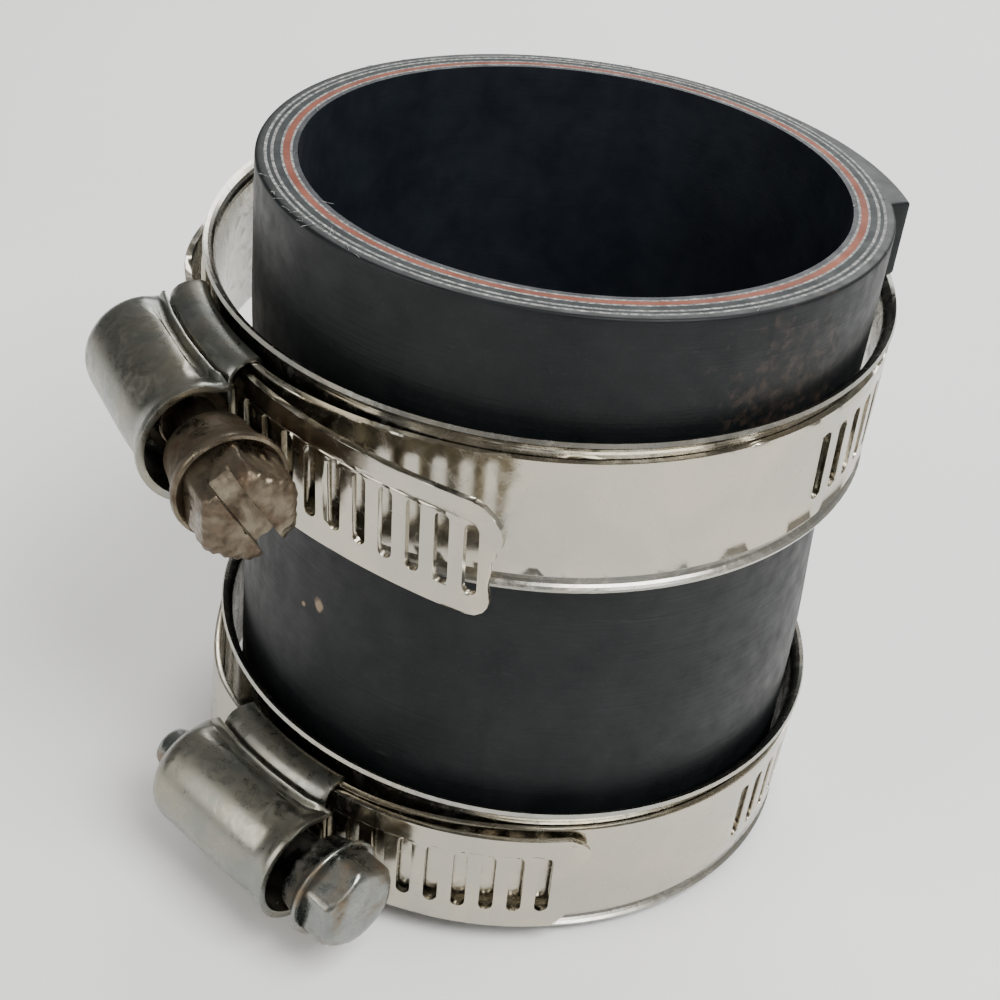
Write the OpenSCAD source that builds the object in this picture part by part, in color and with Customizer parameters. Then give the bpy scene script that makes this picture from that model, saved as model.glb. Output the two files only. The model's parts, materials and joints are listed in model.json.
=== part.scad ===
// Hose coupler: a short fabric-reinforced rubber hose with two lined worm-drive clamps.
// The origin is the centre of the hose's lower end. +Z runs up along the hose.

/* [Hose] */
// Length of the hose
hose_length = 80; // [74:1:100]
// Radius of the bore that slips over a pipe
bore_r = 30; // [28:0.5:30.5]
// Outside radius of the hose at its ends
hose_r = 34.5; // [34:0.1:34.6]
// How far the hose necks in between the clamps
waist = 0.7; // [0.2:0.05:0.8]
// Height of the locating lug below the upper end
lug_height = 8.8; // [6:0.1:9]
// How far the lug's step stands proud of the hose
lug_rise = 2.1; // [1:0.1:2.6]
// Direction of the lug's step around the hose, in degrees
lug_azimuth = 4; // [-20:1:20]

/* [Clamp strip] */
// Width of the clamp strip
band_w = 13.9; // [13:0.1:14]
// Thickness of the clamp strip
band_t = 0.7; // [0.6:0.05:0.8]
// Distance from one thread slot to the next
slot_pitch = 3.175; // [3.175]
// Width of a thread slot
slot_w = 1.6; // [1.5:0.05:1.7]
// Length of a thread slot across the strip
slot_len = 8.6; // [7:0.1:9]
// Lean of a thread slot, in degrees
slot_lean = 3; // [2:0.5:6]

/* [Liner ring] */
// Width of the liner ring over its rolled lips
liner_w = 18.4; // [17.6:0.1:19]
// Sheet thickness of the liner ring
liner_t = 0.5; // [0.4:0.05:0.5]
// Radius of the curl of the liner's lips
lip_curl = 1.9; // [1.7:0.1:2]

/* [Upper clamp] */
// Inside radius of the upper liner
up_r = 37.3; // [37:0.1:38]
// Height of the upper clamp's middle plane
up_z = 60.5; // [56:0.1:60.6]
// Tilt of the upper clamp, in degrees
up_tilt = [2.7, -0.3, 0];
// Offset of the loose upper clamp on the hose
up_shift = [-1.45, 1.85];
// Direction of the upper worm housing, in degrees
up_azimuth = -147; // [-160:1:-120]
// How far the loose upper housing stands off its liner
up_lift = 0.3; // [0:0.05:1]

/* [Lower clamp] */
// Inside radius of the lower liner
lo_r = 35.65; // [35.6:0.05:36.5]
// Height of the lower clamp's middle plane
lo_z = 11.6; // [11.4:0.1:14]
// Tilt of the lower clamp, in degrees
lo_tilt = [1.2, 1.9, 0];
// Offset of the lower clamp on the hose
lo_shift = [-0.4, 0];
// Direction of the lower worm housing, in degrees
lo_azimuth = -128; // [-140:1:-110]
// How far the lower housing stands off its liner
lo_lift = 0.5; // [0:0.05:1]

/* [Hidden] */
$fn = 96;

// The hose wall, from the bore outwards
tube_r = bore_r + 0.55;
ply1_r = tube_r + 0.25;
barrier_r = ply1_r + 0.75;
ply2_r = barrier_r + 0.25;
tie_r = ply2_r + 0.75;
ply3_r = tie_r + 0.3;
skim_r = ply3_r + 0.4;
ply4_r = skim_r + 0.3;

// Radial build of a clamp, from the liner's inside radius outwards, before any lift
seat = liner_t + 0.1;          // strip in the liner's channel
saddle_in = 0.8;               // underside of the saddle
saddle_t = 0.5;
lower_layer = 1.4;             // underside of the strip's fixed start inside the saddle
upper_layer = 2.3;             // underside of the sliding strap inside the saddle
saddle_out = 5.05;
worm_out = upper_layer + band_t + 3.95;   // worm axis

// The strip and housing sit a little low on their liners
skew = 0.5;                    // lean of the strip's loop towards the housing, in degrees
housing_drop = 0.3;            // play of the strip inside the saddle
up_strap_yaw = -2;             // heading of the upper strap end, in degrees

// Radius of the strap end's curve under the worm
up_strap_r = up_r + up_lift + upper_layer + band_t + 6.6;
lo_strap_r = lo_r + lo_lift + upper_layer + band_t - 2;

// Worm and housing
worm_r = 4.35;
worm_root_r = 3.2;
dome_r = 6.6;
dome_bore_r = 5.7;
dome_y0 = -11.3;
dome_y1 = 10;
mouth_angle = 12;              // saddle mouth on the head side, in degrees
rear_angle = -12;              // saddle mouth on the tip side
thread_y0 = -2 * slot_pitch;
thread_y1 = 1.75 * slot_pitch;
collar_y = dome_y1 + 0.9;
collar_r = 6.1;
hex_af = 9.5;

function smooth(t) = let (c = min(1, max(0, t))) c * c * (3 - 2 * c);

// ---- hose ----

module sleeve(r_in, r_out) {
    difference() {
        cylinder(h = hose_length, r = r_out);
        translate([0, 0, -1]) cylinder(h = hose_length + 2, r = r_in);
    }
}

module inner_tube() color("#1d2126") sleeve(bore_r, tube_r);

module inner_fabric_ply() color("#8d9091") sleeve(tube_r, ply1_r);

module barrier_ply() color("#b4513c") sleeve(ply1_r, barrier_r);

module barrier_fabric_ply() color("#8d9091") sleeve(barrier_r, ply2_r);

module tie_rubber() color("#2a323b") sleeve(ply2_r, tie_r);

module middle_fabric_ply() color("#8d9091") sleeve(tie_r, ply3_r);

module skim_rubber() color("#33383d") sleeve(ply3_r, skim_r);

module outer_fabric_ply() color("#a3a5a4") sleeve(skim_r, ply4_r);

// The cover's outside: straight ends, with a shallow waist between the clamps
module cover_profile() {
    steps = 12;
    edge = 0.3;
    waist_z0 = 26;
    waist_z1 = 66;
    polygon([[ply4_r, 0], [hose_r - edge, 0], [hose_r, edge], [hose_r, waist_z0],
        for (i = [1:steps - 1]) [hose_r - waist * pow(sin(180 * i / steps), 2),
            waist_z0 + (waist_z1 - waist_z0) * i / steps],
        [hose_r, waist_z1], [hose_r, hose_length - edge], [hose_r - edge, hose_length],
        [ply4_r, hose_length]]);
}

// A wedge that grows out of the cover and ends in a step
module lug() {
    ramp = 44;
    intersection() {
        translate([0, 0, hose_length - lug_height]) linear_extrude(lug_height)
            polygon([[ply4_r * cos(lug_azimuth + ramp), ply4_r * sin(lug_azimuth + ramp)],
                for (i = [0:8]) let (a = lug_azimuth + ramp * (1 - i / 8),
                    r = hose_r - 0.1 + (lug_rise + 0.1) * pow(i / 8, 1.25)) [r * cos(a), r * sin(a)],
                for (a = [-1.2, -3.2]) let (r = hose_r + (a == -1.2 ? lug_rise * 0.82 : -0.1))
                    [r * cos(lug_azimuth + a), r * sin(lug_azimuth + a)],
                [ply4_r * cos(lug_azimuth - 3), ply4_r * sin(lug_azimuth - 3)]]);
        difference() {
            cylinder(h = hose_length, r = hose_r + lug_rise + 1);
            translate([0, 0, -1]) cylinder(h = hose_length + 2, r = ply4_r);
        }
    }
}

module outer_cover() color("#25292e") union() {
    rotate_extrude() cover_profile();
    lug();
}

// ---- clamps ----

module clamp_frame(shift, z, tilt) {
    translate([shift[0], shift[1], z]) rotate(tilt) children();
}

module liner(r) {
    flat = liner_w / 2 - lip_curl * sin(70);
    lip = [for (a = [180:-14:110]) a];
    color("#b9b7b2") rotate_extrude() polygon(concat(
        [for (a = lip) [r + lip_curl + lip_curl * cos(a), flat + lip_curl * sin(a)]],
        [for (i = [len(lip) - 1:-1:0]) let (a = lip[i], c = lip_curl - liner_t)
            [r + lip_curl + c * cos(a), flat + c * sin(a)]],
        [for (a = lip) let (c = lip_curl - liner_t)
            [r + lip_curl + c * cos(a), -flat - c * sin(a)]],
        [for (i = [len(lip) - 1:-1:0]) let (a = lip[i])
            [r + lip_curl + lip_curl * cos(a), -flat - lip_curl * sin(a)]]));
}

// Underside radius of the strip at an angle from the housing, counted towards the screw head
function strip_radius(r, lift, u) = r + seat
    + (lift + lower_layer - seat) * smooth((48 - u) / 36)
    + (lift + upper_layer - seat) * smooth((u - 314) / 28);

// One round-ended thread slot through the strip, at a radius and an angle
module thread_slot(r, angle) {
    half = slot_len / 2 - slot_w / 2;
    rotate([0, 0, angle]) translate([r - 3, 0, 0]) rotate([-slot_lean, 0, 0]) {
        translate([0, -slot_w / 2, -half]) cube([6, slot_w, 2 * half]);
        for (s = [-1, 1]) translate([0, 0, s * half])
            rotate([0, 90, 0]) cylinder(h = 6, r = slot_w / 2, $fn = 24);
    }
}

// The strip's loop: fixed under the worm, once round the liner, and back into the rear mouth
module band_loop(r, lift, first_slot) {
    start = -6;
    end = 349;
    steps = 176;
    u = [for (i = [0:steps]) start + (end - start) * i / steps];
    slot_step = slot_pitch / (r + seat) * 180 / PI;
    color("#c6c2ba") difference() {
        translate([0, 0, -band_w / 2]) linear_extrude(band_w) polygon(concat(
            [for (a = u) strip_radius(r, lift, a) * [cos(a), sin(a)]],
            [for (i = [steps:-1:0]) (strip_radius(r, lift, u[i]) + band_t) * [cos(u[i]), sin(u[i])]]));
        for (a = [first_slot:slot_step:end - 16]) thread_slot(strip_radius(r, lift, a), a);
    }
}

// Centre line of the strap's free end: an arc through the housing, then a flatter tail
function strap_heading(curve_r, bend, tail_r, s) =
    (min(s, bend) / curve_r + max(0, s - bend) / tail_r) * 180 / PI;

function strap_point(curve_r, bend, tail_r, s) = let (h = strap_heading(curve_r, bend, tail_r, bend))
    s <= bend ? curve_r * [cos(s / curve_r * 180 / PI), sin(s / curve_r * 180 / PI)]
    : curve_r * [cos(h), sin(h)]
        + tail_r * [cos(h + (s - bend) / tail_r * 180 / PI) - cos(h),
            sin(h + (s - bend) / tail_r * 180 / PI) - sin(h)];

// The strap's free end: it starts under the worm and runs out below the screw head
module strap_end(r, lift, curve_r, bend, tail_r, tail, slots, phase) {
    mid_r = curve_r - band_t / 2;
    inner = (0.75 - phase) * slot_pitch;   // arc length behind the worm's middle, clear of its thread
    steps = 60;
    s = [for (i = [0:steps]) -inner + (tail + inner) * i / steps];
    color("#c9c6be") translate([r + lift + upper_layer + band_t - curve_r, 0, 0]) difference() {
        translate([0, 0, -band_w / 2]) linear_extrude(band_w) polygon(concat(
            [for (a = s) strap_point(mid_r, bend, tail_r, a)
                - band_t / 2 * [cos(strap_heading(mid_r, bend, tail_r, a)),
                    sin(strap_heading(mid_r, bend, tail_r, a))]],
            [for (i = [steps:-1:0]) strap_point(mid_r, bend, tail_r, s[i])
                + band_t / 2 * [cos(strap_heading(mid_r, bend, tail_r, s[i])),
                    sin(strap_heading(mid_r, bend, tail_r, s[i]))]]));
        for (i = [0:slots - 1]) let (a = (i + phase) * slot_pitch, p = strap_point(mid_r, bend, tail_r, a))
            translate([p[0], p[1], 0]) thread_slot(0, strap_heading(mid_r, bend, tail_r, a));
        // Clipped corners at the tip
        let (p = strap_point(mid_r, bend, tail_r, tail)) for (side = [-1, 1])
            translate([p[0], p[1], side * band_w / 2])
                rotate([0, 0, strap_heading(mid_r, bend, tail_r, tail)])
                    rotate([45, 0, 0]) cube([6, 3.2, 3.2], center = true);
    }
}

function corner(x, y, reach, start) =
    [for (a = [start:15:start + 90]) [x + reach * cos(a), y + reach * sin(a)]];

module saddle_section(r) {
    half = band_w / 2 + 1;
    shoulder = 2;
    foot = 0.9;
    x0 = r + saddle_in;
    x1 = r + saddle_out;
    difference() {
        polygon(concat(corner(x1 - shoulder, half - shoulder, shoulder, 0),
            corner(x0 + foot, half - foot, foot, 90), corner(x0 + foot, foot - half, foot, 180),
            corner(x1 - shoulder, shoulder - half, shoulder, 270)));
        polygon(concat(corner(x1 - shoulder, half - shoulder, shoulder - saddle_t, 0),
            [[x0 + saddle_t, half - saddle_t], [x0 + saddle_t, saddle_t - half]],
            corner(x1 - shoulder, shoulder - half, shoulder - saddle_t, 270)));
    }
}

module saddle(r) {
    color("#a8a59c") difference() {
        rotate([0, 0, rear_angle]) rotate_extrude(angle = mouth_angle - rear_angle, $fn = 360)
            saddle_section(r);
        // Opening under the worm
        along_worm(r, thread_y0 - 2) cylinder(h = dome_y1 - thread_y0 + 6, r = worm_r + 0.35);
    }
}

module along_worm(r, y) {
    translate([r + worm_out, y, 0]) rotate([-90, 0, 0]) children();
}

module housing(r) {
    round_r = 3;
    length = dome_y1 - dome_y0;
    foot = worm_out - saddle_out;
    color("#aba79d") difference() {
        union() {
            along_worm(r, dome_y0) rotate_extrude() polygon(concat([[0, 0], [dome_r - round_r, 0]],
                [for (a = [-75:15:0]) [dome_r - round_r + round_r * cos(a), round_r + round_r * sin(a)]],
                [[dome_r, length - 2.2], [dome_r + 0.5, length - 0.8], [dome_r + 0.5, length],
                [0, length]]));
            translate([r + saddle_out, dome_y0 + 1.6, -dome_r])
                cube([foot, length - 3.6, 2 * dome_r]);
        }
        along_worm(r, dome_y0 + 1.2) cylinder(h = length, r = dome_bore_r);
        along_worm(r, dome_y0 - 1) cylinder(h = 3, r = 3.1);
        translate([r + saddle_out - 1, dome_y0 + 2.6, -dome_bore_r])
            cube([foot + 1, length - 5.6, 2 * dome_bore_r]);
        // The foot follows the saddle's curved back
        cylinder(h = 40, r = r + saddle_out, center = true, $fn = 360);
    }
}

// Cross-section of a single-start thread: one turn of angle is one pitch of length
function thread_radius(t) = worm_root_r + (worm_r - worm_root_r)
    * min(1, max(0, (0.27 - abs(t - 0.5)) / 0.13));

module worm_thread(phase) {
    length = thread_y1 - thread_y0;
    points = 18;
    along = length / slot_pitch;
    linear_extrude(height = length, twist = -360 * along, slices = round(along * points), segments = points)
        rotate([0, 0, 360 * phase]) polygon([for (i = [0:points - 1]) let (a = 360 * i / points)
            thread_radius(1 - i / points) * [cos(a), sin(a)]]);
}

module screw(r, tip, collar, head, phase, slotted) {
    head_y = collar_y + collar;
    root = tip + thread_y0;
    core = worm_root_r - 0.2;
    color(slotted ? "#8f8271" : "#b4b2ab") {
        difference() {
            union() {
                along_worm(r, thread_y0) worm_thread(phase);
                // Plain tip and core
                along_worm(r, -tip) rotate_extrude() polygon([[0, 0], [1.9, 0], [2.6, 1],
                    [2.6, root - 1.6], [core, root - 0.8], [core, tip + collar_y + 1],
                    [0, tip + collar_y + 1]]);
                // Collar, flared towards the head so that it clears the strap below
                along_worm(r, collar_y) rotate_extrude() polygon(concat([[0, 0], [4.4, 0]],
                    [for (p = [[0.04, 0], [0.3, 0.15], [0.6, 0.45], [0.84, 0.85]])
                        [4.7 + (collar_r - 4.7) * p[1], collar * p[0]]],
                    [[collar_r, collar - 0.8], [collar_r, collar - 0.4],
                    [collar_r - 0.4, collar], [0, collar]]));
                // Hexagon head with a domed end
                intersection() {
                    along_worm(r, head_y - 1)
                        cylinder(h = head + 1, r = hex_af / 2 / cos(30), $fn = 6);
                    along_worm(r, head_y - 1) rotate_extrude() polygon([[0, 0], [5.7, 0],
                        [5.7, head - 0.4], [4.3, head + 0.75], [3.4, head + 1], [0, head + 1]]);
                }
            }
            if (slotted) translate([r + worm_out, head_y + head, 0])
                rotate([0, -60, 0]) cube([20, 7.6, 2.4], center = true);
        }
    }
}

module upper_ring() clamp_frame(up_shift, up_z, up_tilt) children();

module lower_ring() clamp_frame(lo_shift, lo_z, lo_tilt) children();

// The strip's loop leans on its liner, and the housing hangs low on the strip
module strip_frame(azimuth) rotate([0, 0, azimuth]) rotate([0, skew, 0]) children();

module upper_frame() upper_ring() strip_frame(up_azimuth) translate([0, 0, -housing_drop]) children();

module lower_frame() lower_ring() strip_frame(lo_azimuth) translate([0, 0, -housing_drop]) children();

module upper_liner() upper_ring() liner(up_r);

module upper_band() upper_ring() strip_frame(up_azimuth) band_loop(up_r, up_lift, 110);

module upper_strap_end() upper_frame() rotate([up_strap_yaw, 0, 0])
    strap_end(up_r, up_lift, up_strap_r, 20, 80, 41.1, 13, 0);

module upper_saddle() upper_frame() saddle(up_r + up_lift);

module upper_housing() upper_frame() housing(up_r + up_lift);

module upper_screw() upper_frame() screw(up_r + up_lift, 9.8, 6.9, 5.7, 0, true);

module lower_liner() lower_ring() liner(lo_r);

module lower_band() lower_ring() strip_frame(lo_azimuth) band_loop(lo_r, lo_lift, 93);

module lower_strap_end() lower_frame()
    strap_end(lo_r, lo_lift, lo_strap_r, 20, lo_strap_r, 38.2, 11, 0.5);

module lower_saddle() lower_frame() saddle(lo_r + lo_lift);

module lower_housing() lower_frame() housing(lo_r + lo_lift);

module lower_screw() lower_frame() screw(lo_r + lo_lift, 14.6, 3.6, 4.3, 0.5, false);

inner_tube();
inner_fabric_ply();
barrier_ply();
barrier_fabric_ply();
tie_rubber();
middle_fabric_ply();
skim_rubber();
outer_fabric_ply();
outer_cover();
upper_liner();
upper_band();
upper_strap_end();
upper_saddle();
upper_housing();
upper_screw();
lower_liner();
lower_band();
lower_strap_end();
lower_saddle();
lower_housing();
lower_screw();
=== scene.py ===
import json
import math
import random

import bmesh
import bpy
from mathutils import Matrix, Vector
from mathutils.geometry import tessellate_polygon


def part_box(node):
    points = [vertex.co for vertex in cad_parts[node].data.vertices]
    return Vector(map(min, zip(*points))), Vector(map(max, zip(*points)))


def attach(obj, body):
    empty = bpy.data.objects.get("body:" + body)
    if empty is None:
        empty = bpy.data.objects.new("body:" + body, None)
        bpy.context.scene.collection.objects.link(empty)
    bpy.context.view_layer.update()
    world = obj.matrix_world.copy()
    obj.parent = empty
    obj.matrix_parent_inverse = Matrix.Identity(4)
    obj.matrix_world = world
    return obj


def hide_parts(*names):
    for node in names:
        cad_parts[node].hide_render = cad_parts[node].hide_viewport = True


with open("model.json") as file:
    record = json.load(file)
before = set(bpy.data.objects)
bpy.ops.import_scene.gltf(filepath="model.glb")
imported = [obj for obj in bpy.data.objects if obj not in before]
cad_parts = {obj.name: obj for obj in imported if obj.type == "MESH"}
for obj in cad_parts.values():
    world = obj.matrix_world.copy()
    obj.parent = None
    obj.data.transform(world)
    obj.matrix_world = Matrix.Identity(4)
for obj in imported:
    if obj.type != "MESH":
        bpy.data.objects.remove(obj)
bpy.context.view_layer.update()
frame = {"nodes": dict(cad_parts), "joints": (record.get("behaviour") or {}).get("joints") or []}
nodes = frame["nodes"]
joints = {joint["name"]: joint for joint in frame["joints"]}
MM = 0.001

# Hose, in millimetres
HOSE_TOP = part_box("outer_cover")[1].z / MM
HOSE_R = 34.5
WAIST = 0.7
WAIST_Z = (26, 66)
LUG = {"angle": 4, "step": 1.6, "ramp": 44, "rise": 2.1, "height": 8.8}
PLY_R = {"inner_fabric_ply": 30.67, "barrier_fabric_ply": 31.67, "middle_fabric_ply": 32.7,
         "outer_fabric_ply": 33.4}
COVER_IN_R = 33.55
THREAD_GAP = {ply: 0.85 if ply == "inner_fabric_ply" else 0.62 for ply in PLY_R}
MISSING_THREADS = 0.16
FIBRES, TUFTED_FIBRES = 46, 20
FIBRE_R = 0.035
STAIN = (24, -25, 70.5)
TAN_SPOTS = (((-21.6, -26.6, 36.5), 0.95), ((-20.5, -27.6, 39.6), 0.5),
             ((-23.5, -25, 35.2), 0.4), ((11.8, -32.4, 44.6), 0.4))

# Clamp strip and housing, in millimetres
BAND_W, BAND_T = 13.9, 0.7
PITCH, SLOT_W, SLOT_LEN, SLOT_LEAN = 3.175, 1.6, 8.6, 3
SEAT, SADDLE_IN, LOWER_LAYER, UPPER_LAYER, SADDLE_OUT = 0.6, 0.8, 1.4, 2.3, 5.05
LOOP_START, LOOP_END, LAST_SLOT = -6, 349, 333     # degrees from the housing
FRONT_RISE, FRONT_REACH = 48, 36       # where the strip leaves the liner for the housing
BACK_RISE, BACK_REACH = 314, 28
STANDOFF = 3.95                # worm axis above the strap
WORM_R, ROOT_R = 4.35, 3.2
MOUTH, REAR = 12, -12          # ends of the saddle, in degrees
DOME_R, DOME_Y0, DOME_Y1 = 6.6, -11.3, 10
COLLAR_R = 6.1
THREAD_Y = (-2 * PITCH, 1.75 * PITCH)
HEX_AF = 9.5

random.seed(7)


# ---- camera and studio ----

def add_camera():
    data = bpy.data.cameras.new("camera")
    data.lens = 61.7
    data.sensor_width = 36
    data.clip_start = 0.01
    camera = bpy.data.objects.new("camera", data)
    bpy.context.scene.collection.objects.link(camera)
    yaw, pitch, roll = (math.radians(a) for a in (1.25, 33.77, 7.1))
    turn = (Matrix.Rotation(yaw, 4, "Z") @ Matrix.Rotation(math.pi / 2 - pitch, 4, "X")
            @ Matrix.Rotation(roll, 4, "Z"))
    camera.matrix_world = Matrix.Translation((0, -174.4 * MM, 152.4 * MM)) @ turn
    bpy.context.scene.camera = camera


def softbox(name, position, size, power, colour=(1, 1, 1), target=(0, 0, 0.04)):
    data = bpy.data.lights.new(name, "AREA")
    data.shape = "RECTANGLE"
    data.size, data.size_y = size
    data.energy = power
    data.color = colour
    lamp = bpy.data.objects.new(name, data)
    bpy.context.scene.collection.objects.link(lamp)
    aim = Vector(target) - Vector(position)
    lamp.matrix_world = Matrix.Translation(position) @ aim.to_track_quat("-Z", "Y").to_matrix().to_4x4()


def studio_world():
    """A soft sky in upright bands, dark left of the middle and brightest on the right."""
    world = bpy.data.worlds.new("studio")
    bpy.context.scene.world = world
    world.use_nodes = True
    tree = world.node_tree
    coord = tree.nodes.new("ShaderNodeTexCoord")
    split = tree.nodes.new("ShaderNodeSeparateXYZ")
    across = tree.nodes.new("ShaderNodeMapRange")
    shade = tree.nodes.new("ShaderNodeValToRGB")
    tree.links.new(coord.outputs["Generated"], split.inputs[0])
    tree.links.new(split.outputs["X"], across.inputs["Value"])
    across.inputs["From Min"].default_value = -1
    tree.links.new(across.outputs["Result"], shade.inputs["Fac"])
    stops = shade.color_ramp.elements
    stops[0].position, stops[0].color = 0.05, (0.2, 0.21, 0.21, 1)
    stops[1].position, stops[1].color = 0.92, (0.55, 0.54, 0.52, 1)
    for position, level in ((0.36, 0.5), (0.47, 0.27), (0.6, 0.42), (0.7, 0.95), (0.8, 0.85)):
        stop = stops.new(position)
        stop.color = (level, level * 0.985, level * 0.955, 1)
    tree.links.new(shade.outputs["Color"], tree.nodes["Background"].inputs["Color"])
    tree.nodes["Background"].inputs["Strength"].default_value = 0.8


# ---- materials ----

class Finish:
    """A material under construction: its node tree and its principled shader."""

    def __init__(self, name, **sockets):
        self.material = bpy.data.materials.new(name)
        self.material.use_nodes = True
        self.tree = self.material.node_tree
        self.shader = self.tree.nodes["Principled BSDF"]
        for key, value in sockets.items():
            self.shader.inputs[key.replace("_", " ")].default_value = value

    def node(self, kind, inputs=(), **settings):
        made = self.tree.nodes.new("ShaderNode" + kind)
        for key, value in settings.items():
            setattr(made, key, value)
        for key, value in dict(inputs).items():
            if isinstance(value, bpy.types.NodeSocket):
                self.tree.links.new(value, made.inputs[key])
            else:
                made.inputs[key].default_value = value
        return made

    def drive(self, socket, output):
        self.tree.links.new(output, self.shader.inputs[socket])

    def place(self, stretch=(1, 1, 1)):
        """Object coordinates in millimetres, stretched."""
        coord = self.node("TexCoord")
        return self.node("Mapping", {"Vector": coord.outputs["Object"],
                                     "Scale": [s / MM for s in stretch]}).outputs["Vector"]

    def noise(self, scale, detail=4, roughness=0.55, stretch=(1, 1, 1), distortion=0.0):
        return self.node("TexNoise", {"Vector": self.place(stretch), "Scale": scale, "Detail": detail,
                                      "Roughness": roughness, "Distortion": distortion}).outputs["Fac"]

    def ramp(self, factor, *stops):
        """Colour ramp from (position, colour) pairs."""
        made = self.node("ValToRGB", {"Fac": factor})
        band = made.color_ramp
        while len(band.elements) < len(stops):
            band.elements.new(0.5)
        for element, (position, colour) in zip(band.elements, stops):
            element.position = position
            element.color = (*colour, 1)
        return made.outputs["Color"]

    def span(self, factor, low, high, start=0.3, end=0.7):
        """Factor from start to end mapped to low to high."""
        return self.node("MapRange", {"Value": factor, "From Min": start, "From Max": end,
                                      "To Min": low, "To Max": high}).outputs["Result"]

    def near(self, spot, reach, edge=0.5):
        """1 at a spot given in millimetres, falling to 0 at reach, with a ragged edge."""
        away = self.node("VectorMath", {0: self.place(), 1: spot}, operation="DISTANCE").outputs["Value"]
        ragged = self.node("Math", {0: away, 1: self.span(self.noise(0.9, 5), -edge * reach, edge * reach)},
                           operation="ADD").outputs["Value"]
        return self.span(ragged, 1, 0, reach * 0.45, reach)

    def mix(self, factor, first, second):
        made = self.node("Mix", {"Factor": factor}, data_type="RGBA")
        for socket, value in ((made.inputs[6], first), (made.inputs[7], second)):
            if isinstance(value, bpy.types.NodeSocket):
                self.tree.links.new(value, socket)
            else:
                socket.default_value = (*value, 1)
        return made.outputs[2]

    def math(self, operation, *values):
        return self.node("Math", dict(enumerate(values)), operation=operation).outputs["Value"]

    def bump(self, *layers):
        """Layers of (height, strength, distance in millimetres), one over the other."""
        normal = None
        for height, strength, distance in layers:
            inputs = {"Height": height, "Strength": strength, "Distance": distance * MM}
            if normal:
                inputs["Normal"] = normal
            normal = self.node("Bump", inputs).outputs["Normal"]
        self.drive("Normal", normal)


def rubber_finish(name, dark, light, rough, grain=0.3):
    """Moulded rubber: mottled colour, fine grain round the hose and a slightly uneven gloss."""
    f = Finish(name, Specular_IOR_Level=0.22)
    colour = f.ramp(f.noise(0.16, 6), (0.32, dark), (0.72, light))
    f.drive("Base Color", colour)
    f.drive("Roughness", f.span(f.noise(0.45, 6), *rough))
    f.bump((f.noise(0.7, 4, stretch=(0.1, 0.1, 4)), grain, 0.06), (f.noise(6, 3), 0.25, 0.02))
    return f, colour


def rubber(*look):
    return rubber_finish(*look)[0].material


def cover_rubber():
    """The hose's cover: satin black with a brown stain, tan spots and pale scuffs."""
    f, colour = rubber_finish("cover_rubber", (0.003, 0.0042, 0.005), (0.0075, 0.0094, 0.0102),
                              (0.4, 0.56), 0.6)
    rust = f.near(STAIN, 8, 0.8)
    speckle = f.math("MULTIPLY", rust, f.span(f.noise(0.7, 6), 0.05, 0.5, 0.45, 0.68))
    colour = f.mix(speckle, colour, (0.06, 0.04, 0.028))
    for spot, reach in TAN_SPOTS:
        colour = f.mix(f.near(spot, reach, 0.3), colour, (0.23, 0.17, 0.11))
    scuff = f.span(f.noise(0.5, 8, 0.7, stretch=(0.25, 0.25, 2.2), distortion=1.2), 0, 0.45, 0.62, 0.76)
    colour = f.mix(scuff, colour, (0.04, 0.043, 0.043))
    worn = f.span(f.noise(2.4, 4, 0.6), 0, 0.3, 0.56, 0.76)
    colour = f.mix(worn, colour, (0.022, 0.025, 0.026))
    f.drive("Base Color", colour)
    return f.material


def fabric():
    """Cut ends of the reinforcing threads, some pale and some soaked in rubber."""
    f = Finish("ply_fabric", Sheen_Weight=0.25)
    f.drive("Base Color", f.ramp(f.noise(1.6, 4, 0.7), (0.36, (0.03, 0.034, 0.036)),
                                 (0.5, (0.14, 0.145, 0.14)), (0.64, (0.42, 0.42, 0.38))))
    f.drive("Roughness", f.span(f.noise(3, 3), 0.65, 0.9))
    f.bump((f.noise(5, 3), 0.6, 0.05))
    return f.material


def steel(name, cool, warm, rough, grain=0.1, smudge=0.35, pitted=0.2):
    """Stainless steel with smudges, fine rolling lines and small pits."""
    f = Finish(name, Metallic=1.0)
    tint = f.ramp(f.noise(0.13, 5, distortion=0.4), (0.36, cool), (0.7, warm))
    prints = f.span(f.noise(smudge, 7, 0.65, distortion=1.4), 0, 1, 0.4, 0.68)
    pits = f.span(f.noise(2.6, 3, 0.6), 0, pitted, 0.67, 0.76)
    f.drive("Base Color", f.mix(pits, tint, [c * 0.45 for c in warm]))
    f.drive("Roughness", f.span(prints, *rough, 0, 1))
    f.bump((f.noise(0.8, 3, stretch=(0.08, 0.08, 6)), grain, 0.02), (f.noise(0.25, 3), 0.12, 0.15),
           (pits, -0.3, 0.03))
    return f.material


def tarnished(name, metal, stain, rough, amount, relief):
    """Steel with brown stains in soft patches, darkest where they are thick."""
    f = Finish(name)
    patches = f.span(f.noise(0.3, 6, 0.55, distortion=0.4), 0, 1, *amount)
    crust = f.span(f.noise(1.3, 6, 0.6), 0, 1, 0.4, 0.66)
    brown = f.mix(crust, stain, [c * 0.45 for c in stain])
    f.drive("Base Color", f.mix(patches, f.ramp(f.noise(0.35, 4), (0.35, [c * 0.75 for c in metal]),
                                                (0.7, metal)), brown))
    f.drive("Metallic", f.span(patches, 1, 0.6, 0, 1))
    f.drive("Roughness", f.math("ADD", f.span(patches, *rough, 0, 1), f.span(crust, 0, 0.08, 0, 1)))
    f.bump((f.noise(0.7, 5, 0.55), relief, 0.2), (crust, relief * 0.5, 0.05))
    return f.material


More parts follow.
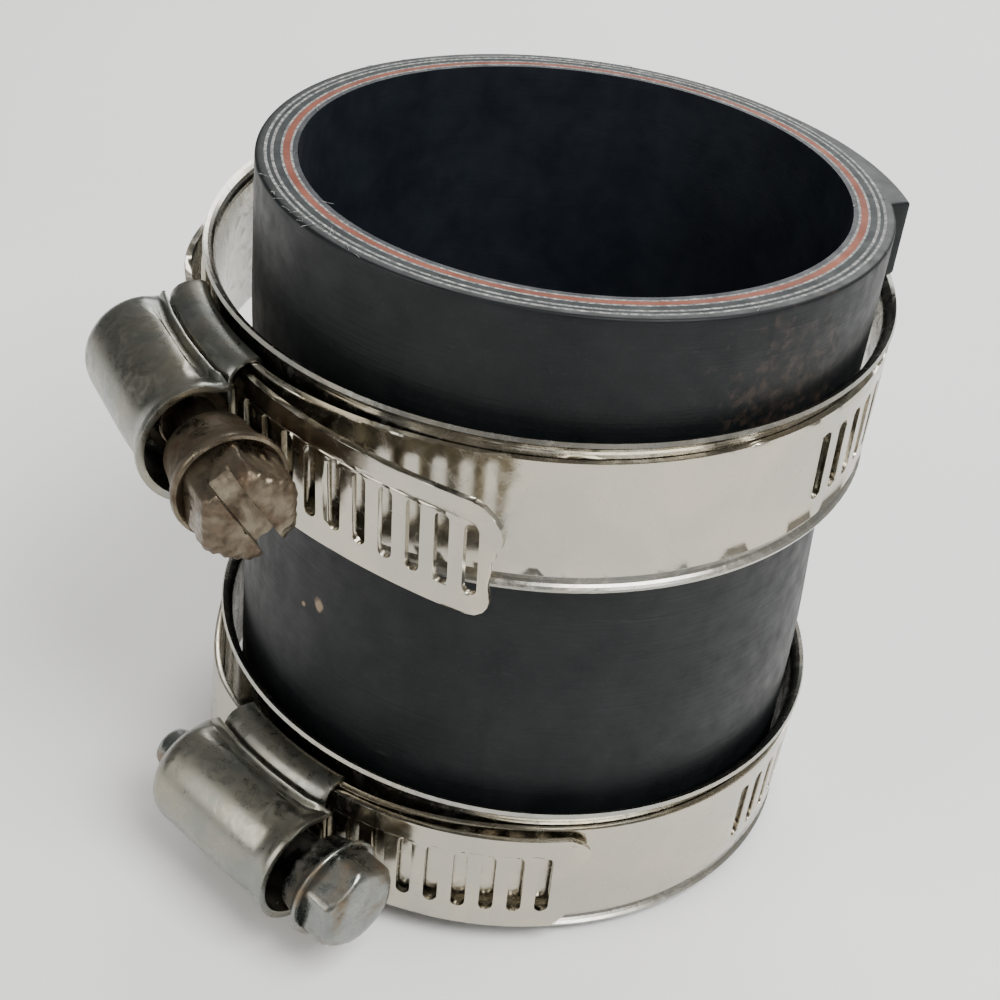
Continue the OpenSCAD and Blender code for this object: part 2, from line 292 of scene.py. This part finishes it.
MATERIALS = {
    "tube_rubber": rubber("tube_rubber", (0.0058, 0.008, 0.0122), (0.012, 0.0155, 0.021),
                          (0.42, 0.6)),
    "barrier_rubber": rubber("barrier_rubber", (0.13, 0.032, 0.018), (0.25, 0.075, 0.042),
                             (0.55, 0.75), 0.5),
    "wall_rubber": rubber("wall_rubber", (0.0075, 0.0105, 0.0112), (0.02, 0.026, 0.026),
                          (0.5, 0.7), 0.5),
    "ply_fabric": fabric(),
    "cover_rubber": cover_rubber(),
    "liner_steel": steel("liner_steel", (0.34, 0.34, 0.31), (0.42, 0.39, 0.33), (0.17, 0.34)),
    "band_steel": steel("band_steel", (0.42, 0.4, 0.345), (0.5, 0.45, 0.36), (0.14, 0.32)),
    "housing_steel": steel("housing_steel", (0.2, 0.21, 0.195), (0.275, 0.255, 0.205), (0.26, 0.44),
                           0.06, 0.5, 0.08),
    "worn_screw_steel": tarnished("worn_screw_steel", (0.2, 0.17, 0.125), (0.085, 0.055, 0.03),
                                  (0.22, 0.48), (0.36, 0.62), 0.5),
    "plated_screw_steel": tarnished("plated_screw_steel", (0.25, 0.262, 0.245), (0.17, 0.13, 0.085),
                                    (0.22, 0.38), (0.44, 0.66), 0.2),
}


def paper():
    """The floor's matt white."""
    f = Finish("floor_paper")
    f.drive("Base Color", f.ramp(f.noise(0.01, 3), (0.4, (0.93, 0.93, 0.92)), (0.6, (0.95, 0.95, 0.94))))
    f.drive("Roughness", f.span(f.noise(0.05, 3), 0.8, 0.95))
    return f.material


def add_floor(size=3):
    mesh = bpy.data.meshes.new("floor")
    mesh.from_pydata([(-size, -size, 0), (size, -size, 0), (size, size, 0), (-size, size, 0)], [],
                     [(0, 1, 2, 3)])
    mesh.materials.append(paper())
    floor = bpy.data.objects.new("floor", mesh)
    bpy.context.scene.collection.objects.link(floor)


# ---- geometry helpers, in millimetres ----

def radians(*degrees):
    return [math.radians(d) for d in degrees]


def smooth(t):
    """Smooth step from 0 at t = 0 to 1 at t = 1."""
    c = min(1, max(0, t))
    return c * c * (3 - 2 * c)


def spread(start, end, count):
    """Evenly spaced values from start to end, both included."""
    return [start + (end - start) * (i / (count - 1)) for i in range(count)]


def axes(origin, x, y, z):
    """Matrix from millimetres in a local frame to metres in the part's frame."""
    turn = Matrix((x, y, z)).transposed().to_4x4()
    return Matrix.Translation(origin) @ turn @ Matrix.Scale(MM, 4)


def grid(rows, close_rows=False, close_columns=True):
    """Vertices and quads of a grid given as rows of points."""
    width = len(rows[0])
    verts = [p for row in rows for p in row]
    faces = []
    for i in range(len(rows) - (0 if close_rows else 1)):
        for k in range(width - (0 if close_columns else 1)):
            n, m = (i + 1) % len(rows), (k + 1) % width
            faces.append((i * width + k, i * width + m, n * width + m, n * width + k))
    return verts, faces


def merge(*parts):
    """Joins lists of vertices and faces."""
    verts, faces = [], []
    for more_verts, more_faces in parts:
        start = len(verts)
        verts += more_verts
        faces += [tuple(start + i for i in face) for face in more_faces]
    return verts, faces


def lathe(profile, steps, radius=None):
    """Solid of revolution about Y from (radius, y) points; radius(r, y, angle) can change it."""
    angles = [2 * math.pi * k / steps for k in range(steps)]
    change = radius or (lambda r, y, a: r)
    rows = [[(change(r, y, a) * math.cos(a), y, -change(r, y, a) * math.sin(a)) for a in angles]
            for r, y in profile]
    verts, faces = grid(rows)
    last = len(verts) - steps
    return verts, faces + [tuple(range(steps))[::-1], tuple(range(last, last + steps))]


def bake(obj, *modifiers):
    """Applies modifiers given as (kind, settings)."""
    for kind, settings in modifiers:
        made = obj.modifiers.new(kind, kind)
        for key, value in settings.items():
            setattr(made, key, value)
    bpy.context.view_layer.update()
    graph = bpy.context.evaluated_depsgraph_get()
    mesh = bpy.data.meshes.new_from_object(obj.evaluated_get(graph))
    obj.modifiers.clear()
    obj.data = mesh
    return obj


def solid(name, geometry, *modifiers):
    """A mesh object in millimetres, with its normals made to point outwards."""
    mesh = bpy.data.meshes.new(name)
    verts, faces = geometry
    mesh.from_pydata(verts, [], faces)
    work = bmesh.new()
    work.from_mesh(mesh)
    bmesh.ops.remove_doubles(work, verts=work.verts, dist=1e-5)
    bmesh.ops.recalc_face_normals(work, faces=work.faces)
    work.to_mesh(mesh)
    work.free()
    obj = bpy.data.objects.new(name, mesh)
    bpy.context.scene.collection.objects.link(obj)
    return bake(obj, *modifiers) if modifiers else obj


def cut(obj, geometry):
    """Takes a shape away from obj."""
    tool = solid("cutter", geometry)
    bake(obj, ("BOOLEAN", {"operation": "DIFFERENCE", "object": tool, "solver": "EXACT"}))
    bpy.data.objects.remove(tool)
    return obj


def block(x, y, z, matrix=Matrix.Identity(4)):
    """Box between pairs of limits, turned by matrix."""
    verts = [tuple(matrix @ Vector((i, j, k))) for i in x for j in y for k in z]
    return verts, [(0, 1, 3, 2), (4, 6, 7, 5), (0, 4, 5, 1), (2, 3, 7, 6), (0, 2, 6, 4), (1, 5, 7, 3)]


def rounded(width, segments=2, angle=40):
    """Modifiers that round the sharp edges and keep the flat faces flat."""
    return (("BEVEL", {"width": width, "segments": segments, "limit_method": "ANGLE",
                       "angle_limit": math.radians(angle), "harden_normals": False}),
            ("WEIGHTED_NORMAL", {"keep_sharp": True, "weight": 60}))


def place(obj, matrix, body, slot, replaced=(), sharp=38):
    """Moves a millimetre object into the part's frame, paints it and ties it to its body."""
    obj.data.transform(matrix)
    obj.data.shade_smooth()
    obj.data.set_sharp_from_angle(angle=math.radians(sharp))
    obj.data.materials.clear()
    obj.data.materials.append(MATERIALS[slot])
    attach(obj, body)
    if replaced:
        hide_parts(*replaced)
    return obj


# ---- hose ----

def lug_rise(angle, z):
    """How far the locating lug stands proud at an angle in degrees and a height."""
    turn = (angle - LUG["angle"] + 180) % 360 - 180
    if z < HOSE_TOP - LUG["height"] or not -LUG["step"] < turn < LUG["ramp"]:
        return 0
    if turn < 0:
        return LUG["rise"] * (1 + turn / LUG["step"])
    return LUG["rise"] * (1 - turn / LUG["ramp"]) ** 1.3


def cover_radius(z):
    """Radius of the hose's cover at a height: a slight waist and rounded rims."""
    waist = min(1, max(0, (z - WAIST_Z[0]) / (WAIST_Z[1] - WAIST_Z[0])))
    edge = 0.35
    round_off = max(0, edge - z, z - HOSE_TOP + edge)
    return (HOSE_R - WAIST * math.sin(math.pi * waist) ** 2
            - edge + math.sqrt(max(0, edge ** 2 - round_off ** 2)))


def hose_cover():
    step = [LUG["angle"] + a for a in (-1.7, -1.6, -1.2, -0.8, -0.4, -0.1, 0.1, 0.4)]
    angles = sorted([a for a in spread(0, 360, 241)[:-1] if abs(a - LUG["angle"] + 0.7) > 1.4] + step)
    ledge = HOSE_TOP - LUG["height"]
    heights = ([0, 0.04, 0.12, 0.22, 0.35] + spread(3, ledge - 0.3, 40)
               + [ledge - 0.02, ledge + 0.02, ledge + 0.15, ledge + 0.4]
               + spread(ledge + 1, HOSE_TOP - 0.9, 8) + [HOSE_TOP - d for d in (0.35, 0.22, 0.12, 0.04, 0)])
    rows = [[(COVER_IN_R * math.cos(a), COVER_IN_R * math.sin(a), 0) for a in radians(*angles)]]
    for z in heights:
        low = 0.25 * smooth((ledge + 0.4 - z) / 0.4) if z > ledge else 0
        row = []
        for angle in angles:
            r = cover_radius(z) + max(0, lug_rise(angle, z) - low)
            a = math.radians(angle)
            ripple = 0.03 * math.sin(3 * a + z / 9) + 0.02 * math.sin(7 * a - z / 5)
            row.append(((r + ripple) * math.cos(a), (r + ripple) * math.sin(a), z))
        rows.append(row)
    rows.append([(COVER_IN_R * math.cos(a), COVER_IN_R * math.sin(a), HOSE_TOP) for a in radians(*angles)])
    cover = solid("hose_cover", grid(rows, close_rows=True))
    place(cover, Matrix.Scale(MM, 4), "hose", "cover_rubber", ["outer_cover"])


def tuft(centre, along, across, up, length, width, height):
    """A short thread end: six corners, pointed at both ends and flat on the cut face."""
    verts = [centre - along * length, centre + along * length, centre - across * width,
             centre + across * width, centre + up * height, centre - up * height * 0.5]
    return ([tuple(v) for v in verts],
            [(0, 2, 4), (2, 1, 4), (1, 3, 4), (3, 0, 4), (2, 0, 5), (1, 2, 5), (3, 1, 5), (0, 3, 5)])


def thread_ends():
    """Cut threads that show in both end faces, a row for each ply."""
    for ply, radius in PLY_R.items():
        parts = []
        count = round(2 * math.pi * radius / THREAD_GAP[ply])
        for z, up in ((HOSE_TOP, Vector((0, 0, 1))), (0, Vector((0, 0, -1)))):
            for k in range(count):
                if random.random() < MISSING_THREADS:
                    continue
                a = 2 * math.pi * (k + random.uniform(-0.3, 0.3)) / count
                out = Vector((math.cos(a), math.sin(a), 0))
                along = Vector((-out.y, out.x, 0))
                twist = random.uniform(-0.35, 0.35)
                centre = out * (radius + random.uniform(-0.07, 0.07)) + Vector((0, 0, z))
                parts.append(tuft(centre, along + out * twist, out - along * twist, up,
                                  random.uniform(0.2, 0.32), random.uniform(0.07, 0.12),
                                  random.uniform(0.02, 0.05) if z else 0.01))
        ends = solid(ply + "_ends", merge(*parts))
        place(ends, Matrix.Scale(MM, 4), "hose", "ply_fabric", sharp=70)


def loose_fibres():
    """Frayed threads round the upper rim, thickest at the front left."""
    parts = []
    for k in range(FIBRES):
        angle = math.radians(random.gauss(-140, 9) if k < TUFTED_FIBRES else random.uniform(-180, 180))
        out = Vector((math.cos(angle), math.sin(angle), 0))
        along = Vector((-out.y, out.x, 0))
        point = out * random.choice([30.4, 33.4, 33.6, 34.2]) + Vector((0, 0, HOSE_TOP - 0.03))
        heading = (out * random.uniform(-0.6, 1) + along * random.uniform(-1, 1)).normalized()
        length = random.uniform(0.5, 1.9 if k < TUFTED_FIBRES else 1.1)
        path, lift = [], random.uniform(0.1, 0.5)
        for t in spread(0, 1, 6):
            curl = along * math.sin(3 * t + k) * 0.18
            path.append(point + heading * length * t + curl * t + Vector((0, 0, lift * t * (1.2 - t))))
        rows = [[tuple(p + (out * math.cos(b) + Vector((0, 0, 1)) * math.sin(b)) * FIBRE_R)
                 for b in radians(0, 120, 240)] for p in path]
        parts.append(grid(rows))
    place(solid("loose_fibres", merge(*parts)), Matrix.Scale(MM, 4), "hose", "ply_fabric", sharp=80)


# ---- clamps ----

class Clamp:
    """One clamp's frames: X outwards at the worm, Y towards the screw head, Z along the ring's axis."""

    def __init__(self, side, liner_r, lift):
        self.side, self.liner_r, self.base = side, liner_r, liner_r + lift
        turn, screw, feed = (joints[side + name] for name in ("_clamp_turn", "_screw_turn", "_strap_feed"))
        self.lift = lift
        centre, worm, bend = (Vector(j["pos_m"]) for j in (turn, screw, feed))
        up, along = Vector(turn["axis"]).normalized(), -Vector(screw["axis"]).normalized()
        out = along.cross(up).normalized()
        self.worm_x = (worm - centre).dot(out) / MM
        self.loop = axes(centre, out, along, up)
        self.box = axes(worm - out * self.worm_x * MM, out, along, up)
        self.worm = axes(worm, out, along, up)
        strap_up = Vector(feed["axis"]).normalized()
        self.strap = axes(bend, out, strap_up.cross(out), strap_up)
        self.curve_r = self.worm_x - STANDOFF - BAND_T / 2 - (bend - centre).dot(out) / MM

    def strip_radius(self, u):
        """Middle of the strip's thickness at an angle in degrees from the housing."""
        return (self.liner_r + SEAT + BAND_T / 2
                + (self.lift + LOWER_LAYER - SEAT) * smooth((FRONT_RISE - u) / FRONT_REACH)
                + (self.lift + UPPER_LAYER - SEAT) * smooth((u - BACK_RISE) / BACK_REACH))


def slot_outline(s, lean, steps=8):
    """Round-ended thread slot round a point along the strip, as (s, v) points."""
    half = SLOT_LEN / 2 - SLOT_W / 2
    points = []
    for end, start in ((1, 0), (-1, 180)):
        for a in radians(*spread(start, start + 180, steps)):
            points.append((SLOT_W / 2 * math.cos(a), end * half + SLOT_W / 2 * math.sin(a)))
    tilt = math.radians(lean)
    return [(s + x * math.cos(tilt) - y * math.sin(tilt), x * math.sin(tilt) + y * math.cos(tilt))
            for x, y in points]


def strip(name, outline, slots, station, point, matrix, body, replaced):
    """Sheet strip cut from a flat outline with slots, bent along a path and thickened, edges rounded."""
    loops = [[Vector((s, v, 0)) for s, v in loop] for loop in [outline, *slots]]
    work = bmesh.new()
    verts = [work.verts.new(p) for loop in loops for p in loop]
    for triangle in tessellate_polygon(loops):
        if len(set(triangle)) == 3:
            work.faces.new([verts[i] for i in triangle])
    low, high = min(s for s, v in outline), max(s for s, v in outline)
    for s in spread(low, high, round((high - low) / station) + 1)[1:-1]:
        everything = work.verts[:] + work.edges[:] + work.faces[:]
        bmesh.ops.bisect_plane(work, geom=everything, dist=1e-4, plane_co=(s, 0, 0), plane_no=(1, 0, 0))
    bmesh.ops.recalc_face_normals(work, faces=work.faces)
    for vert in work.verts:
        vert.co = Vector(point(vert.co.x, vert.co.y))
    mesh = bpy.data.meshes.new(name)
    work.to_mesh(mesh)
    work.free()
    obj = bpy.data.objects.new(name, mesh)
    bpy.context.scene.collection.objects.link(obj)
    bake(obj, ("SOLIDIFY", {"thickness": BAND_T, "offset": 0}))
    bake(obj, *rounded(0.09, 2, 55))
    place(obj, matrix, body, "band_steel", [replaced])


def strip_loop(clamp, first_slot):
    """The strip's loop, from under the worm once round the liner and back into the rear mouth."""
    mean = clamp.liner_r + SEAT + BAND_T / 2
    per_degree = math.radians(mean)
    start, end, half = LOOP_START * per_degree, LOOP_END * per_degree, BAND_W / 2
    step = PITCH / (clamp.liner_r + SEAT)
    slots = []
    u = first_slot
    while u < LAST_SLOT:
        slots.append(slot_outline(u * per_degree, SLOT_LEAN))
        u += math.degrees(step)

    def point(s, v):
        a = s / per_degree
        return (clamp.strip_radius(a) * math.cos(math.radians(a)),
                clamp.strip_radius(a) * math.sin(math.radians(a)), v)

    outline = [(start, -half), (end, -half), (end, half), (start, half)]
    strip(clamp.side + "_strip_loop", outline, slots, 1.4, point, clamp.loop,
          clamp.side + "_clamp", clamp.side + "_band")


def strap_point(curve_r, bend, tail_r, s):
    """Centre line of the strap's free end: an arc through the housing, then a flatter tail."""
    h = min(s, bend) / curve_r
    x, y = curve_r * math.cos(h), curve_r * math.sin(h)
    if s > bend:
        t = (s - bend) / tail_r
        x += tail_r * (math.cos(h + t) - math.cos(h))
        y += tail_r * (math.sin(h + t) - math.sin(h))
    return x, y


def strap_end(clamp, bend, tail_r, tail, slots, phase, tip):
    """The strap's free end, with the worn and torn tip given as (s, v) from its end."""
    start, half = (phase - 0.75) * PITCH, BAND_W / 2
    outline = [(start, half), (start, -half), *[(tail + s, v) for s, v in tip[::-1]]]
    holes = [slot_outline((i + phase) * PITCH, SLOT_LEAN) for i in range(slots)]

    def point(s, v):
        x, y = strap_point(clamp.curve_r, bend, tail_r or clamp.curve_r, s)
        return x, y, v

    strip(clamp.side + "_strap_tail", outline, holes, 1.2, point, clamp.strap,
          clamp.side + "_strap", clamp.side + "_strap_end")


def rounded_corner(x, y, reach, start, steps=6):
    return [(x + reach * math.cos(a), y + reach * math.sin(a))
            for a in radians(*spread(start, start + 90, steps))]


def saddle(clamp):
    """Pressed sheet box round the strip, swept along the ring, open under the worm."""
    half, wall = BAND_W / 2 + 1, 0.5
    low, high = clamp.base + SADDLE_IN, clamp.base + SADDLE_OUT

    def section(inset, big, small):
        x0, x1, h = low + inset, high - inset, half - inset
        return (rounded_corner(x1 - big, h - big, big, 0) + rounded_corner(x0 + small, h - small, small, 90)
                + rounded_corner(x0 + small, -h + small, small, 180)
                + rounded_corner(x1 - big, -h + big, big, 270))

    def sweep(outline):
        rows = []
        for a in spread(REAR, MOUTH, 25):
            lip = 0.12 * smooth((abs(a - (REAR + MOUTH) / 2) - 10) / 2)
            c, s = math.cos(math.radians(a)), math.sin(math.radians(a))
            rows.append([((x - lip * (x > low + 2)) * c, (x - lip * (x > low + 2)) * s, z)
                         for x, z in outline])
        return rows

    outer, inner = sweep(section(0, 2.3, 0.9)), sweep(section(wall, 1.8, 0.4))
    verts, faces = merge(grid(outer), grid(inner[::-1]))
    width, last = len(outer[0]), (len(outer) - 1) * len(outer[0])
    shift = len(outer) * width
    for k in range(width):
        m = (k + 1) % width
        faces.append((m, k, shift + last + k, shift + last + m))
        faces.append((last + k, last + m, shift + m, shift + k))
    obj = solid(clamp.side + "_saddle_box", (verts, faces))
    tool = lathe([(WORM_R + 0.35, THREAD_Y[0] - 2), (WORM_R + 0.35, DOME_Y1 + 4)], 48)
    cut(obj, ([(x + clamp.worm_x, y, z) for x, y, z in tool[0]], tool[1]))
    bake(obj, *rounded(0.12, 2, 50))
    place(obj, clamp.box, clamp.side + "_clamp", "housing_steel", [clamp.side + "_saddle"])


def dome(clamp):
    """Pressed dome over the worm: closed rounded back, flared mouth and a raised seam along its foot."""
    wall, seam = 0.8, 0.95
    back = [(DOME_R - 3 + 3 * math.cos(a), DOME_Y0 + 3 + 3 * math.sin(a))
            for a in radians(*spread(-80, 0, 8))]
    front = [(DOME_R + grow, DOME_Y1 - behind)
             for behind, grow in ((14, 0.02), (9, 0.05), (6, 0), (4.4, -0.1), (3.3, -0.22), (2.5, -0.16),
                                  (1.8, 0.08), (1.2, 0.32), (0.6, 0.48), (0, 0.46))]
    rows = []
    for r, y in back + front:
        foot = math.sqrt((clamp.base + SADDLE_OUT) ** 2 - y * y) - clamp.worm_x + wall * 0.4
        edge = seam * smooth((y - DOME_Y0 - 0.8) / 1.5) * smooth((DOME_Y1 - 0.2 - y) / 2)
        pinch = r - 0.55 * smooth((r - 5) / 1.5)
        side = [(foot, pinch + edge), (foot + 0.28, pinch + edge), (foot + 0.5, pinch + edge * 0.55),
                (foot + 0.62, pinch + 0.06), (foot + 1.15, pinch + 0.1), (-0.2, r * 0.998)]
        arc = [(r * math.cos(a), r * math.sin(a)) for a in radians(*spread(83, -83, 23))]
        rows.append([(x, y, z) for x, z in side + arc + [(x, -z) for x, z in side[::-1]]])
    verts, faces = grid(rows, close_columns=False)
    faces.append(tuple(range(len(rows[0]))))
    obj = solid(clamp.side + "_worm_dome", (verts, faces))
    outward = sum(p.normal.x for p in obj.data.polygons if p.center.x > 5) > 0
    bake(obj, ("SOLIDIFY", {"thickness": wall, "offset": -1 if outward else 1}))
    cut(obj, lathe([(3.1, DOME_Y0 - 1), (3.1, DOME_Y0 + 2)], 32))
    bake(obj, *rounded(0.14, 2, 45))
    place(obj, clamp.worm, clamp.side + "_clamp", "housing_steel", [clamp.side + "_housing"])


def thread_radius(y, angle, phase):
    """Worm thread: one turn of angle is one pitch of length."""
    turns = (y - THREAD_Y[0]) / PITCH - angle / (2 * math.pi) + phase
    crest = min(1, max(0, (0.27 - abs(turns % 1 - 0.5)) / 0.13))
    fade = smooth((y - THREAD_Y[0]) / 0.6) * smooth((THREAD_Y[1] - y) / 0.6)
    return ROOT_R + (WORM_R - ROOT_R) * crest * fade


def hex_radius(angle):
    """Distance to a hexagon's side, with slightly rounded corners."""
    turn = math.radians(60)
    flat = HEX_AF / 2 / math.cos((angle + turn / 2) % turn - turn / 2)
    return min(flat, HEX_AF / 2 / math.cos(turn / 2) - 0.12)


def batter(obj, centre_y, amount):
    """Small dents and burrs beyond a distance along the screw."""
    for vert in obj.data.vertices:
        x, y, z = vert.co
        if y > centre_y:
            dent = (math.sin(2.1 * x + 3.3 * z) * math.sin(2.7 * y + 1.9 * z)
                    + 0.6 * math.sin(5.3 * x - 4.1 * y))
            vert.co += Vector((x, 0, z)).normalized() * dent * amount
            vert.co.y += dent * amount * 0.7


def screw(clamp, finish, tip, collar, head, phase, slot=None):
    """Worm screw: tip, thread, flared collar with a rolled lip, and a domed hexagon head.

    slot is the turn in degrees of a screwdriver slot across a worn head."""
    collar_y = DOME_Y1 + 0.9
    lip_y = collar_y + collar
    thread = lathe([(ROOT_R, y) for y in spread(*THREAD_Y, 100)], 48,
                   lambda r, y, a: thread_radius(y, a, phase + 0.5))
    core = ROOT_R - 0.2
    flare = [(4.7 + (COLLAR_R - 4.7) * p, collar_y + collar * d)
             for d, p in ((0.04, 0), (0.15, 0.06), (0.3, 0.15), (0.45, 0.28), (0.6, 0.45), (0.72, 0.64),
                          (0.82, 0.84), (0.88, 0.96), (0.92, 1), (0.96, 0.98), (0.99, 0.93))]
    cup = HEX_AF / 2 + 0.5
    body = lathe([(0.6, -tip), (1.9, -tip + 0.05), (2.35, -tip + 0.4), (2.6, -tip + 1.1),
                  (2.6, THREAD_Y[0] - 1.6), (core, THREAD_Y[0] - 0.8), (core, collar_y - 0.1),
                  (4.4, collar_y),
                  *flare, (COLLAR_R - 0.45, lip_y), (cup + 0.1, lip_y - 0.15),
                  (cup - 0.1, lip_y - 0.5), (1, lip_y - 0.55)], 64)
    end = lip_y + head
    dome_end = [(6, lip_y - 1.2), (6, lip_y + head * 0.2), (6, lip_y + head * 0.4), (6, end - 1.5),
                (5.45, end - 1), (5, end - 0.6), (4.5, end - 0.25), (3.9, end - 0.05), (3.2, end),
                (2, end + 0.02), (0.5, end + 0.02)]
    head_piece = solid("head", lathe(dome_end, 96, lambda r, y, a: min(r, hex_radius(a))))
    if slot is not None:
        turn = Matrix.Translation((0, end, 0)) @ Matrix.Rotation(math.radians(slot), 4, "Y")
        cut(head_piece, block((-8, 8), (-2.7, 3), (-1.2, 1.2), turn))
        bake(head_piece, *rounded(0.45, 3, 50))
        bake(head_piece, ("SUBSURF", {"subdivision_type": "SIMPLE", "levels": 1}))
        batter(head_piece, lip_y + 0.6, 0.08)
    else:
        bake(head_piece, *rounded(0.2, 3, 28))
    obj = solid(clamp.side + "_worm_screw", merge(thread, body))
    work = bmesh.new()
    work.from_mesh(obj.data)
    work.from_mesh(head_piece.data)
    work.to_mesh(obj.data)
    work.free()
    bpy.data.objects.remove(head_piece)
    place(obj, clamp.worm, clamp.side + "_worm", finish, [clamp.side + "_screw"])


# ---- assembly ----

# Free ends of the straps, as (s, v) points from the end
UPPER_TIP = [(-3.2, 6.95), (-2.3, 6.65), (-1.1, 5.7), (-0.3, 4.7), (0, 3.7), (-0.05, 2.7), (-0.4, 2.1),
             (-0.62, 1.6), (-0.6, 1.0), (-0.95, 0.5), (-0.92, -0.8), (-1.05, -2.2), (-0.9, -3.2),
             (-0.6, -4.2), (-0.7, -5.1), (-1.1, -5.9), (-1.9, -6.6), (-3.2, -6.95)]
LOWER_TIP = [(-2.6, 6.95), (-1.2, 6.2), (-0.2, 5.2), (0, 4.5), (-0.35, 3.9), (-0.9, 3.2), (-1.2, 1.5),
             (-1.15, -1), (-1.25, -3.5), (-1.1, -4.4), (-1.9, -5.6), (-3.2, -6.95)]
CARRIED_OVER = {"inner_tube": "tube_rubber", "inner_fabric_ply": "ply_fabric",
                "barrier_ply": "barrier_rubber", "barrier_fabric_ply": "ply_fabric",
                "tie_rubber": "wall_rubber",
                "middle_fabric_ply": "ply_fabric", "skim_rubber": "wall_rubber",
                "outer_fabric_ply": "ply_fabric", "upper_liner": "liner_steel", "lower_liner": "liner_steel"}

add_camera()
add_floor()
studio_world()
softbox("key", (0.25, -0.25, 0.55), (0.35, 0.35), 5)
softbox("fill", (-0.45, -0.3, 0.3), (0.3, 0.4), 1.6, (1, 0.97, 0.93))
softbox("rim", (0.1, 0.5, 0.4), (0.5, 0.3), 3)

for node, slot in CARRIED_OVER.items():
    nodes[node].data.materials.clear()
    nodes[node].data.materials.append(MATERIALS[slot])
hose_cover()
thread_ends()
loose_fibres()

upper = Clamp("upper", 37.3, 0.3)
lower = Clamp("lower", 35.65, 0.5)
strip_loop(upper, 110)
strip_loop(lower, 93)
strap_end(upper, 20, 80, 41.1, 13, 0, UPPER_TIP)
strap_end(lower, 20, None, 38.2, 11, 0.5, LOWER_TIP)
for clamp in (upper, lower):
    saddle(clamp)
    dome(clamp)
screw(upper, "worn_screw_steel", 9.8, 6.9, 5.7, 0, -60)
screw(lower, "plated_screw_steel", 14.6, 3.6, 4.3, 0.5)
